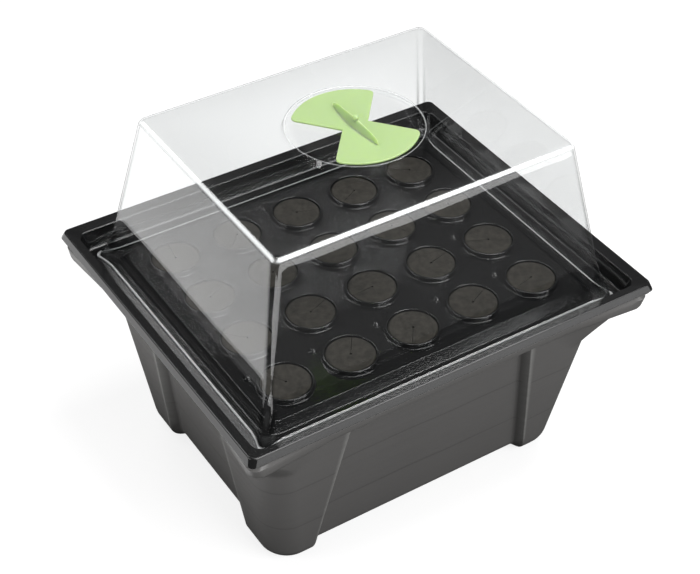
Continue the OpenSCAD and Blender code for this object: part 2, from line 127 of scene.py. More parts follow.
class Shader:
    """A material and the nodes that are added to it."""

    def __init__(self, name: str) -> None:
        """Makes an empty node material.

        Args:
            name: The material's name.
        """
        self.material = bpy.data.materials.new(name)
        self.material.use_nodes = True
        self.tree = self.material.node_tree
        self.tree.nodes.clear()

    def node(
        self,
        kind: str,
        settings: dict[str, object] | None = None,
        inputs: dict[str | int, object] | None = None,
        output: str | int = 0,
    ) -> Socket:
        """Adds a node, sets it up and feeds it.

        Args:
            kind: The node's type.
            settings: Properties set first; "stops" is a ramp's list of (place, grey).
            inputs: Socket name or number to a value or a Socket.
            output: The output to return.

        Returns:
            The chosen output.
        """
        node = self.tree.nodes.new(kind)
        for key, value in (settings or {}).items():
            if key == "stops":
                self._stops(node.color_ramp, value)
            else:
                setattr(node, key, value)
        for key, value in (inputs or {}).items():
            if isinstance(value, Socket):
                self.tree.links.new(value.output, node.inputs[key])
            else:
                node.inputs[key].default_value = value
        return Socket(self, node.outputs[output])

    @staticmethod
    def _stops(ramp: bpy.types.ColorRamp, stops: Sequence[tuple[float, float]]) -> None:
        """Sets a ramp's stops from pairs of place and grey."""
        while len(ramp.elements) < len(stops):
            ramp.elements.new(1.0)
        for element, (place, grey) in zip(ramp.elements, stops):
            element.position = place
            element.color = (grey, grey, grey, 1.0)

    def place(self) -> Socket:
        """Returns the object's own coordinates, in metres."""
        return self.node("ShaderNodeTexCoord", output="Object")

    def noise(
        self, scale: float, detail: float = 2.0, rough: float = 0.5, where: Socket | None = None
    ) -> Socket:
        """Adds a Noise texture.

        Args:
            scale: Its scale per metre.
            detail: Its detail.
            rough: Its roughness.
            where: The coordinates, or None for the object's own.

        Returns:
            The noise as a value near 0.5.
        """
        inputs = {"Vector": where or self.place(), "Scale": scale, "Detail": detail, "Roughness": rough}
        return self.node("ShaderNodeTexNoise", {}, inputs)

    def ramp(self, value: Socket, stops: Sequence[tuple[float, float]]) -> Socket:
        """Returns the value through a ramp of grey stops."""
        return self.node("ShaderNodeValToRGB", {"stops": stops}, {"Fac": value})

    def blend(self, factor: Socket, first: Socket | Colour, second: Colour, how: str = "MIX") -> Socket:
        """Mixes two colours by a factor, or in another of the Mix node's ways."""
        start = first if isinstance(first, Socket) else (*first, 1.0)
        settings = {"data_type": "RGBA", "blend_type": how}
        return self.node("ShaderNodeMix", settings, {0: factor, 6: start, 7: (*second, 1.0)}, output=2)

    def stretched(self, x: float, y: float, z: float) -> Socket:
        """Returns the object's coordinates scaled along each axis."""
        return self.node("ShaderNodeMapping", {}, {"Vector": self.place(), "Scale": (x, y, z)})

    def bump(self, height: Socket, depth: float, base: Socket | None = None) -> Socket:
        """Adds a Bump node.

        Args:
            height: The height, from 0 to 1.
            depth: What a height of 1 stands for, in metres.
            base: A bump under this one.

        Returns:
            The normal.
        """
        inputs: dict[str | int, object] = {"Height": height, "Distance": depth, "Strength": 1.0}
        if base is not None:
            inputs["Normal"] = base
        return self.node("ShaderNodeBump", {}, inputs)

    def attribute(self, name: str) -> Socket:
        """Returns a mesh attribute as a value."""
        return self.node("ShaderNodeAttribute", {"attribute_name": name}, output="Fac")

    def plastic(
        self, colour: Socket, rough: Socket, normal: Socket, more: dict[str, object] | None = None
    ) -> bpy.types.Material:
        """Ends the material with a Principled shader.

        Args:
            colour: Its base colour.
            rough: Its roughness.
            normal: Its normal.
            more: Its other inputs.

        Returns:
            The finished material.
        """
        inputs = {"Base Color": colour, "Roughness": rough, "Normal": normal, **(more or {})}
        return self.surface(self.node("ShaderNodeBsdfPrincipled", {}, inputs))

    def surface(self, shader: Socket) -> bpy.types.Material:
        """Connects the last shader to the output.

        Args:
            shader: The shader to show.

        Returns:
            The finished material.
        """
        end = self.tree.nodes.new("ShaderNodeOutputMaterial")
        self.tree.links.new(shader.output, end.inputs["Surface"])
        return self.material


# ---- Finishes ----


@dataclass(frozen=True)
class Moulded:
    """A plastic finish with a fine grain, a slow waviness and slight colour variation."""

    name: str
    colour: Colour
    shade: Colour
    roughness: float
    rough_spread: float = 0.06
    grain: float = 1400.0
    grain_depth: float = 0.00003
    wave: float = 9.0
    wave_depth: float = 0.0004
    through: float = 0.0

    def build(self) -> bpy.types.Material:
        """Makes the material."""
        s = Shader(self.name)
        patches = s.noise(7.0, 3.0)
        grain = s.noise(self.grain, 2.0)
        wave = s.noise(self.wave, 1.0)
        rough = self.roughness + (s.noise(60.0, 3.0) - 0.5) * self.rough_spread
        normal = s.bump(grain, self.grain_depth, base=s.bump(wave, self.wave_depth))
        depth = {
            "Subsurface Weight": self.through,
            "Subsurface Scale": 0.01,
            "Subsurface Radius": (0.8, 1.0, 0.3),
        }
        return s.plastic(s.blend(patches, self.colour, self.shade), rough, normal, depth)


@dataclass(frozen=True)
class SatinSheet:
    """The tank's satin sheet: fine grain, faint drawn lines round it, dusty scuffs and a painted highlight
    along the columns' upright edges.
    """

    name: str = "tank_grey_sheet"
    colour: Colour = (0.104, 0.102, 0.1)
    dusty: Colour = (0.132, 0.129, 0.126)
    # Colour of the painted highlight line along the columns' upright edges.
    column_edge_highlight: Colour = (0.3, 0.3, 0.29)
    roughness: float = 0.42
    line_heights: tuple[float, ...] = (132.0, 66.0)
    line_width: float = 1.6

    def build(self) -> bpy.types.Material:
        """Makes the material."""
        s = Shader(self.name)
        height = s.node("ShaderNodeSeparateXYZ", {}, {0: s.place()}, output=2)
        wander = (s.noise(5.0, 2.0) - 0.5) * 0.016
        lines: Socket | float = 0.0
        for z in self.line_heights:
            off = (height + wander - z * MM) / (self.line_width * MM)
            lines = (1.0 - off.math("ABSOLUTE", off)).clamped() + lines
        drawn = s.noise(26.0, 4.0, 0.6, s.stretched(0.35, 0.35, 7.0))
        specks = s.ramp(s.noise(420.0, 2.0), ((0.0, 0.0), (0.72, 0.0), (0.76, 1.0)))
        tone = (s.noise(9.0, 4.0, 0.6) * 0.7 + drawn * 0.5 - 0.1).clamped()
        dark = (lines * 0.35 + specks * 0.12).clamped()
        colour = s.blend(dark, s.blend(tone, self.colour, self.dusty), (0.3, 0.3, 0.3), "MULTIPLY")
        # Painted highlight: the columns' upright edges, marked by the edge attribute, are lightened where
        # light would catch them.
        column_edge_highlight = (s.attribute("edge") * (0.25 + drawn * 0.5)).clamped()
        colour = s.blend(column_edge_highlight, colour, self.column_edge_highlight)
        rough = self.roughness + (drawn - 0.5) * 0.12 + (s.noise(140.0, 3.0) - 0.5) * 0.08
        slow = s.bump(s.noise(6.0, 1.0), 0.0012)
        ridges = s.bump(drawn - lines * 0.5, 0.00012, base=slow)
        grain = s.bump(s.noise(1800.0, 2.0), 0.00002, base=ridges)
        return s.plastic(colour, rough, grain, {"Specular IOR Level": 0.45})


@dataclass(frozen=True)
class ClearSheet:
    """The dome's clear sheet: it lets light straight through and mirrors more at a slant."""

    name: str = "dome_clear_sheet"
    tint: Colour = (0.966, 0.97, 0.97)
    head_on: float = 0.045
    # Tint of the painted shade on the folded corners and the lugs.
    fold_shade_tint: Colour = (0.16, 0.165, 0.165)
    # Strength of the painted highlight: white diffuse laid along folded edges, the foot and the seat ring.
    highlight_strength: float = 0.8

    def build(self) -> bpy.types.Material:
        """Makes the material."""
        s = Shader(self.name)
        wave = s.bump(s.noise(6.0, 1.0), 0.0012)
        facing = s.node("ShaderNodeLayerWeight", {}, {"Blend": 0.5, "Normal": wave}, output="Facing")
        mirror = (self.head_on + (1.0 - self.head_on) * facing ** 5.0) * (1.0 - s.attribute("dull"))
        # Painted highlight: a white diffuse sheet mixed in where the edge attribute is set, standing in for
        # light caught in the folds.
        painted_highlight = s.attribute("edge") * self.highlight_strength
        shine = {"Color": (1.0, 1.0, 1.0, 1.0), "Roughness": 0.0, "Normal": wave}
        gloss = s.node("ShaderNodeBsdfAnisotropic", {}, shine)
        clear = s.node("ShaderNodeBsdfTransparent", {}, {"Color": (*self.tint, 1.0)})
        highlight_white = s.node("ShaderNodeBsdfDiffuse", {}, {"Color": (0.9, 0.92, 0.92, 1.0)})
        # Painted shade: a dark transparent tint where the thick attribute marks folded corners and lugs, not
        # a thicker sheet.
        thick = s.node("ShaderNodeBsdfTransparent", {}, {"Color": (*self.fold_shade_tint, 1.0)})
        sheet = s.node("ShaderNodeMixShader", {}, {0: s.attribute("thick"), 1: clear, 2: thick})
        body = s.node("ShaderNodeMixShader", {}, {0: painted_highlight.clamped(), 1: sheet, 2: highlight_white})
        return s.surface(s.node("ShaderNodeMixShader", {}, {0: mirror.clamped(), 1: body, 2: gloss}))


@dataclass(frozen=True)
class Foam:
    """Closed-cell foam: matt, with fine open cells on its cut faces."""

    name: str = "collar_cut_foam"
    colour: Colour = (0.0125, 0.0115, 0.0095)
    worn: Colour = (0.042, 0.038, 0.032)

    def build(self) -> bpy.types.Material:
        """Makes the material."""
        s = Shader(self.name)
        cells = s.node("ShaderNodeTexVoronoi", {}, {"Vector": s.place(), "Scale": 1500.0}, output="Distance")
        mottle = s.noise(150.0, 6.0, 0.75)
        colour = s.blend((mottle * 2.4 - 0.7).clamped(), self.colour, self.worn)
        normal = s.bump(cells, 0.00025, base=s.bump(mottle, 0.0005))
        return s.plastic(colour, 0.78 + mottle * 0.15, normal, {"Specular IOR Level": 0.2})


class Finish(Enum):
    """Each finish on the object."""

    TANK = SatinSheet()
    TRAY = Moulded(
        "tray_black_sheet", (0.0055, 0.0055, 0.006), (0.009, 0.009, 0.009), 0.12, 0.04,
        grain=900.0, grain_depth=0.00001, wave=11.0, wave_depth=0.0003,
    )
    DOME = ClearSheet()
    VENT = Moulded(
        "vent_green_moulding", (0.305, 0.42, 0.19), (0.32, 0.435, 0.205), 0.36, 0.05,
        grain=700.0, grain_depth=0.00002, wave=30.0, wave_depth=0.0001, through=0.6,
    )
    COLLAR = Foam()
    PUMP = Moulded(
        "pump_black_moulding", (0.02, 0.021, 0.024), (0.028, 0.029, 0.032), 0.42, 0.08, 2200.0, 0.00005
    )
    ROTOR = Moulded("rotor_white_moulding", (0.62, 0.63, 0.65), (0.68, 0.68, 0.69), 0.35)
    SHAFT = Moulded("shaft_ceramic", (0.8, 0.79, 0.74), (0.84, 0.83, 0.8), 0.15, 0.03, 2500.0, 0.00001)
    RUBBER = Moulded(
        "soft_black_rubber", (0.014, 0.014, 0.015), (0.021, 0.021, 0.021), 0.7, 0.08, 1600.0, 0.00006
    )
    PIPE = Moulded(
        "pipe_black_plastic", (0.019, 0.019, 0.02), (0.028, 0.028, 0.029), 0.38, 0.08, 1500.0, 0.00003
    )
    NOZZLE = Moulded("nozzle_red_moulding", (0.5, 0.03, 0.025), (0.56, 0.045, 0.035), 0.3)

    def material(self) -> bpy.types.Material:
        """Returns the finish's material, made the first time it is asked for."""
        found = bpy.data.materials.get(self.value.name)
        return found or self.value.build()


# ---- Meshes ----


def rounded(corners: Sequence[tuple[float, float, float]], steps: int = 6) -> list[Flat]:
    """Rounds the corners of a line.

    Args:
        corners: Each corner's two coordinates and its radius; the ends' radii are not used.
        steps: Straight pieces in each arc.

    Returns:
        The line's points, steps + 1 of them at each rounded corner.
    """
    line: list[Flat] = [corners[0][:2]]
    for before, here, after in zip(corners, corners[1:], corners[2:]):
        p, a, b = Vector(here[:2]), Vector(before[:2]), Vector(after[:2])
        u, v = (a - p).normalized(), (b - p).normalized()
        half = math.acos(max(-1.0, min(1.0, u.dot(v)))) / 2
        reach = here[2] / math.tan(half)
        centre = p + (u + v).normalized() * (here[2] / math.sin(half))
        start, end = p + u * reach - centre, p + v * reach - centre
        sweep = start.angle_signed(end)
        for k in range(steps + 1):
            turned = start.copy()
            turned.rotate(Matrix.Rotation(-sweep * k / steps, 2))
            line.append(tuple(centre + turned))
    line.append(corners[-1][:2])
    return line


def spread(line: Sequence[Flat], pieces: int, first: bool) -> list[Flat]:
    """Divides the first or the last stretch of a line into equal pieces."""
    a, b = (line[0], line[1]) if first else (line[-2], line[-1])
    inner = [(a[0] + (b[0] - a[0]) * k / pieces, a[1] + (b[1] - a[1]) * k / pieces) for k in range(1, pieces)]
    return [line[0], *inner, *line[1:]] if first else [*line[:-1], *inner, line[-1]]


def mirrored(quadrant: Sequence[Point]) -> list[Point]:
    """Makes a closed loop from the quarter between the +X and +Y sides' middles."""
    loop: list[Point] = []
    for sx, sy, back in ((1, 1, False), (-1, 1, True), (-1, -1, False), (1, -1, True)):
        part = [(sx * x, sy * y, z) for x, y, z in quadrant]
        loop += (part[::-1] if back else part)[:-1]
    return loop


def box_loop(
    half_x: float, half_y: float, radius: float, z: float, corner: int, side_y: int, side_x: int
) -> list[Point]:
    """Closed loop of a rounded rectangle.

    Args:
        half_x: Half its length along X.
        half_y: Half its length along Y.
        radius: Its corner radius.
        z: Its height.
        corner: Pieces in each corner's arc.
        side_y: Pieces in half of each side along Y.
        side_x: Pieces in half of each side along X.

    Returns:
        The points, anticlockwise from the middle of the +X side.
    """
    cx, cy = half_x - radius, half_y - radius
    quarter: list[Point] = [(half_x, cy * k / side_y, z) for k in range(side_y)]
    for k in range(corner + 1):
        a = math.pi / 2 * k / corner
        quarter.append((cx + radius * math.cos(a), cy + radius * math.sin(a), z))
    quarter += [(cx * (1 - k / side_x), half_y, z) for k in range(1, side_x + 1)]
    return mirrored(quarter)


def ring(radius: float, z: float, count: int, at: Flat = (0.0, 0.0)) -> list[Point]:
    """Closed circle, anticlockwise from +X."""
    turns = (2 * math.pi / count * k for k in range(count))
    return [(at[0] + radius * math.cos(a), at[1] + radius * math.sin(a), z) for a in turns]


class Draft:
    """Vertices and faces in millimetres, which become one mesh."""

    def __init__(self) -> None:
        """Starts empty."""
        self.points: list[Point] = []
        self.faces: list[tuple[int, ...]] = []

    def add(self, points: Iterable[Point]) -> list[int]:
        """Adds points.

        Args:
            points: The points to add.

        Returns:
            Their numbers.
        """
        start = len(self.points)
        self.points += points
        return list(range(start, len(self.points)))

    def bridge(self, lower: Sequence[int], upper: Sequence[int]) -> None:
        """Joins two closed loops of equal length with quads."""
        n = len(lower)
        self.faces += [(lower[k], lower[(k + 1) % n], upper[(k + 1) % n], upper[k]) for k in range(n)]

    def sweep(self, loops: Iterable[Sequence[Point]]) -> list[list[int]]:
        """Joins a row of closed loops.

        Args:
            loops: The loops in order.

        Returns:
            Each loop's point numbers.
        """
        numbers = [self.add(loop) for loop in loops]
        for lower, upper in zip(numbers, numbers[1:]):
            self.bridge(lower, upper)
        return numbers

    def cap(self, loop: Sequence[int], flip: bool = False) -> None:
        """Closes a flat loop with one face."""
        self.faces.append(tuple(reversed(loop)) if flip else tuple(loop))

    def sheet(self, outer: Sequence[Point], holes: Sequence[Sequence[Point]], z: float) -> None:
        """Fills a flat area that has round holes.

        Args:
            outer: The area's outline.
            holes: The holes' outlines.
            z: The height of the sheet.
        """
        flat: list[Vector] = []
        edges: list[tuple[int, int]] = []
        for loop in (outer, *holes):
            start, n = len(flat), len(loop)
            flat += [Vector(p[:2]) for p in loop]
            edges += [(start + k, start + (k + 1) % n) for k in range(n)]
        made = delaunay_2d_cdt(flat, edges, [tuple(range(len(outer)))], 1, 1e-5)
        rings = [(sum((Vector(p[:2]) for p in hole), Vector((0, 0))) / len(hole), hole) for hole in holes]
        numbers = self.add((v.x, v.y, z) for v in made[0])
        for face in made[2]:
            middle = sum((made[0][k] for k in face), Vector((0, 0))) / len(face)
            if all((middle - c).length > (Vector(h[0][:2]) - c).length * 0.999 for c, h in rings):
                self.faces.append(tuple(numbers[k] for k in face))

    def to_object(self, name: str, crease: float = 40.0, weld: float = 0.002) -> bpy.types.Object:
        """Makes the mesh object.

        Args:
            name: The object's name.
            crease: Angle in degrees over which an edge stays sharp.
            weld: Distance in millimetres under which points merge.

        Returns:
            The object, in metres, smooth shaded.
        """
        mesh = bpy.data.meshes.new(name)
        mesh.from_pydata([(x * MM, y * MM, z * MM) for x, y, z in self.points], [], self.faces)
        work = bmesh.new()
        work.from_mesh(mesh)
        bmesh.ops.remove_doubles(work, verts=work.verts, dist=weld * MM)
        bmesh.ops.recalc_face_normals(work, faces=work.faces)
        work.to_mesh(mesh)
        work.free()
        mesh.shade_smooth()
        mesh.set_sharp_from_angle(angle=math.radians(crease))
        piece = bpy.data.objects.new(name, mesh)
        bpy.context.scene.collection.objects.link(piece)
        return piece


def weigh_normals(piece: bpy.types.Object) -> None:
    """Keeps broad faces flat beside narrow fillets."""
    weights = piece.modifiers.new("flat_faces", "WEIGHTED_NORMAL")
    weights.mode = "FACE_AREA"
    weights.keep_sharp = True


def dress(piece: bpy.types.Object, finish: Finish) -> None:
    """Gives a new piece its material."""
    piece.data.materials.clear()
    piece.data.materials.append(finish.material())


def smoothstep(low: float, high: float, value: float) -> float:
    """Rises smoothly from 0 at low to 1 at high."""
    t = max(0.0, min(1.0, (value - low) / (high - low)))
    return t * t * (3 - 2 * t)


def mix(first: float, second: float, share: float) -> float:
    """Returns the value a share of the way from first to second."""
    return first + (second - first) * share


# ---- Sub-assemblies ----


@dataclass(frozen=True)
class Layout:
    """Outlines that the shells share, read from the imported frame.

    Every outline is the deck's rounded rectangle with an offset added all round.
    """

    deck_x: float
    deck_y: float
    ledge_z: float
    rim_z: float
    sites: tuple[Flat, ...]

    LIP_OUT = 51.0
    RIM_OUT = 48.5
    RIM_IN = 36.5
    LEDGE_OUT = 34.0
    LEDGE_IN = 9.5
    FALL = 4.0
    DECK_RISE = 7.0
    WALL = 2.0
    NEST_GAP = 0.5

    @classmethod
    def from_frame(cls) -> "Layout":
        """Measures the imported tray, dome and collars."""
        tray_low, tray_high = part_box("site_tray")
        collars = sorted(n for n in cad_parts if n.startswith("collar_"))
        places = tuple(
            ((low.x + high.x) / 2 / MM, (low.y + high.y) / 2 / MM) for low, high in map(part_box, collars)
        )
        return cls(
            tray_high.x / MM - cls.LIP_OUT,
            tray_high.y / MM - cls.LIP_OUT,
            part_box("dome")[0].z / MM,
            tray_high.z / MM,
            places,
        )

    @property
    def fold_z(self) -> float:
        """Height of the rim's inner fold."""
        return self.rim_z - self.FALL

    def lip_at(self, z: float) -> float:
        """Offset of the lip's outer face at a height."""
        return self.RIM_OUT + (self.rim_z - z) * 2.5 / 9


@dataclass(frozen=True)
class Level:
    """One height of the tank's skin, on its corner columns and on its recessed panels."""

    column_z: float
    panel_z: float
    column_out: float
    panel_out: float
    radius: float
    panel_x: float
    panel_y: float
    flare: float = 0.0
    fold: float = 1.0


@dataclass(frozen=True)
class Tank:
    """The satin tub with four corner columns and a flange under the tray's rim."""

    layout: Layout
    wall: float = 3.0
    draft: float = 30.5
    inset: float = 12.0
    recess: float = 11.0
    slant: float = 6.0
    bottom_r: float = 20.0
    core_r: float = 14.0
    foot_h: float = 3.0
    floor_t: float = 3.0
    column_r: float = 32.0
    foot_column_x: float = 43.0
    foot_column_y: float = 58.0
    top_column_x: float = 106.0
    top_column_y: float = 109.0
    gusset_h: float = 58.0
    gusset_out: float = 22.0
    neck_h: float = 7.0
    neck_below: float = 4.0
    edge_r: float = 1.6
    valley_r: float = 4.5
    arc_steps: int = 16
    panel_steps: int = 9
    column_steps: int = 12
    fillet_steps: int = 5

    @property
    def top_out(self) -> float:
        """Offset of the wall at the ledge's height."""
        return self.layout.LEDGE_OUT - self.inset

    @property
    def gusset_low(self) -> float:
        """Height where the corner gussets start."""
        return self.layout.ledge_z - self.gusset_h

    def lean(self, z: float) -> float:
        """Offset of a column's face at a height."""
        return self.top_out - self.draft + self.draft * z / self.layout.ledge_z

    def _panel(self, z: float, skin: float) -> tuple[float, float]:
        """Half widths of the panels on the long and the short faces at a height."""
        share = z / self.layout.ledge_z
        foot_x = self.layout.deck_x + self.lean(0) - self.foot_column_x
        foot_y = self.layout.deck_y + self.lean(0) - self.foot_column_y
        top_x = self.layout.deck_x + self.top_out - self.top_column_x
        top_y = self.layout.deck_y + self.top_out - self.top_column_y
        return mix(foot_x, top_x, share) + skin, mix(foot_y, top_y, share) + skin

    def _wall_level(self, z: float, skin: float) -> Level:
        """Level on the leaning walls; a skin moves it inwards."""
        rise = max(0.0, z - self.gusset_low)
        span = self.layout.rim_z - 9.0 - self.gusset_low
        share = min(1.0, rise / span)
        neck_top = self.layout.ledge_z - self.neck_below
        neck = smoothstep(neck_top - self.neck_h, neck_top, z)
        flange = self.layout.RIM_IN + self.wall + (z - neck_top) * 0.1 - skin
        column = self.lean(z) - skin
        panel = mix(column - self.recess, flange, neck)
        radius = max(mix(self.column_r, 8.0, smoothstep(0.0, 1.0, share)) - skin, 4.0)
        flare = mix(self.gusset_out * share, 7.0, neck)
        return Level(z, z, mix(column, flange, neck), panel, radius, *self._panel(z, skin), flare, 1 - share)

    def _arc_levels(self, skin: float, steps: int = 9) -> list[Level]:
        """Levels round the bottom edge, from the floor up."""
        levels = []
        base = self.floor_t if skin else 0.0
        for k in range(steps):
            a = math.pi / 2 * k / (steps - 1)
            up, back = 1 - math.cos(a), 1 - math.sin(a)
            z = base + self.bottom_r * up
            panel_z = base + self.foot_h + self.core_r * up
            levels.append(
                Level(
                    z,
                    panel_z,
                    self.lean(z) - skin - self.bottom_r * back,
                    self.lean(panel_z) - self.recess - skin - self.core_r * back,
                    max(self.column_r - skin - self.bottom_r * back, 4.0),
                    *self._panel(z, skin),
                )
            )
        return levels

    def _side(self, half: float, arc_start: float) -> list[tuple[float, float]]:
        """Half of one face's section: distance from its middle and the share of the recess there."""
        foot = max(half - self.slant, 8.0)
        edge = min(half, arc_start - 3.0)
        corners = (
            (0.0, self.recess, 0.0),
            (foot, self.recess, self.valley_r),
            (edge, 0.0, self.edge_r),
            (arc_start, 0.0, 0.0),
        )
        line = rounded(corners, self.fillet_steps)
        line = spread(spread(line, self.column_steps, False), self.panel_steps, True)
        return [(s, depth / self.recess) for s, depth in line]

    def _loop(self, level: Level) -> list[Point]:
        """Closed loop of the skin at one level."""
        hx, hy = self.layout.deck_x + level.column_out, self.layout.deck_y + level.column_out
        arc_x, arc_y = hx - level.radius, hy - level.radius

        def out(share: float, s: float, half: float, arc: float) -> tuple[float, float, float]:
            """Extra offset, shift towards the corner and height at a place along a face."""
            up = (s - half) / max(arc - half, 1.0)
            bend = (up - level.fold) / max(1 - level.fold, 0.05)
            rise = 0.5 * (bend + math.sqrt(bend * bend + 0.004)) if level.flare else 0.0
            push = level.flare * min(rise, 1.0)
            drop = (level.panel_out - level.column_out) * share
            return drop + push, push, mix(level.column_z, level.panel_z, share)

        quarter: list[Point] = []
        for s, share in self._side(level.panel_y, arc_y):
            extra, push, z = out(share, s, level.panel_y, arc_y)
            quarter.append((hx + extra, s + push, z))
        mid_x, mid_y = arc_x + level.flare, arc_y + level.flare
        for k in range(1, self.arc_steps):
            a = math.pi / 2 * k / self.arc_steps
            x, y = mid_x + level.radius * math.cos(a), mid_y + level.radius * math.sin(a)
            quarter.append((x, y, level.column_z))
        for s, share in reversed(self._side(level.panel_x, arc_x)):
            extra, push, z = out(share, s, level.panel_x, arc_x)
            quarter.append((s + push, hy + extra, z))
        return mirrored(quarter)

    def _plain(self, out: float, z: float, radius: float) -> Level:
        """Level with no panels, for the flange and its lip."""
        return Level(z, z, out, out, radius, *self._panel(z, 0.0))

    def _flange(self) -> list[Level]:
        """Levels from the wall's top round the lip and down to the nest inside."""
        lay = self.layout
        top, low = lay.fold_z - lay.WALL, lay.rim_z - 12.0
        skin = lay.WALL + lay.NEST_GAP
        lip_low, lip_top = lay.lip_at(low) - skin, lay.lip_at(top) - skin
        inside = lay.RIM_IN + lay.WALL + lay.NEST_GAP
        corners = (
            (inside + self.wall, top - 8.0, 0.0),
            (inside + self.wall + 0.4, top - lay.WALL, 1.2),
            (lip_top - lay.WALL, top - lay.WALL, 0.8),
            (lip_low - lay.WALL, low, 0.35),
            (lip_low, low, 0.35),
            (lip_top, top, 1.8),
            (inside, top, 1.2),
            (inside - 2.5, lay.ledge_z - lay.WALL + 2.0, 0.0),
        )
        line = rounded(corners, 4)
        return [self._plain(out, z, mix(12.0, 6.0, (out - inside) / (lip_low - inside))) for out, z in line]

    def _mark_edges(self, tank: bpy.types.Object) -> None:
        """Stores where the columns' upright edges are, which get a painted highlight line."""
        lay = self.layout
        marks = tank.data.attributes.new("edge", "FLOAT", "POINT")
        for point in tank.data.vertices:
            x, y, z = abs(point.co.x) / MM, abs(point.co.y) / MM, point.co.z / MM
            if not self.bottom_r < z < lay.ledge_z - self.neck_below - self.neck_h:
                continue
            face = self.lean(z)
            panel_x, panel_y = self._panel(z, 0.0)
            long_edge = max(abs(y - lay.deck_y - face), abs(x - panel_x))
            short_edge = max(abs(x - lay.deck_x - face), abs(y - panel_y))
            marks.data[point.index].value = 1.0 if min(long_edge, short_edge) < 1.1 else 0.0

    def build(self) -> bpy.types.Object:
        """Makes the tank and dresses it.

        Returns:
            The tank's piece.
        """
        d = Draft()
        knee, top = self.gusset_low, self.layout.ledge_z
        rise = [mix(self.bottom_r + 9, knee - 8, k / 8) for k in range(9)]
        rise += [knee + step for step in (-4, 0, 4, 10, 18, 28, 38, 48, 56)]
        rise += [top + step for step in (-11, -9.5, -8, -6.5, -5, -3, 2, 7)]
        outer = self._arc_levels(0.0) + [self._wall_level(z, 0.0) for z in rise]
        inner = self._arc_levels(self.wall) + [self._wall_level(z, self.wall) for z in rise[:-8]]
        levels = outer + self._flange() + inner[::-1]
        first = outer[0]
        foot = self._panel(0, 0.0)
        foot_in = [
            Level(0.0, self.foot_h, first.column_out - k, first.panel_out - k * 0.4, 6.0, *foot)
            for k in (14.0, 9.0, 4.0)
        ]
        belly = Level(self.foot_h, self.foot_h, first.column_out - 19, first.panel_out - 8, 6.0, *foot)
        loops = d.sweep(self._loop(level) for level in [belly, *foot_in, *levels])
        d.cap(loops[0], flip=True)
        d.cap(loops[-1])
        tank = d.to_object("tank_shell", 50.0)
        weigh_normals(tank)
        self._mark_edges(tank)
        dress(tank, Finish.TANK)
        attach(tank, "tank")
        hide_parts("tank")
        return tank


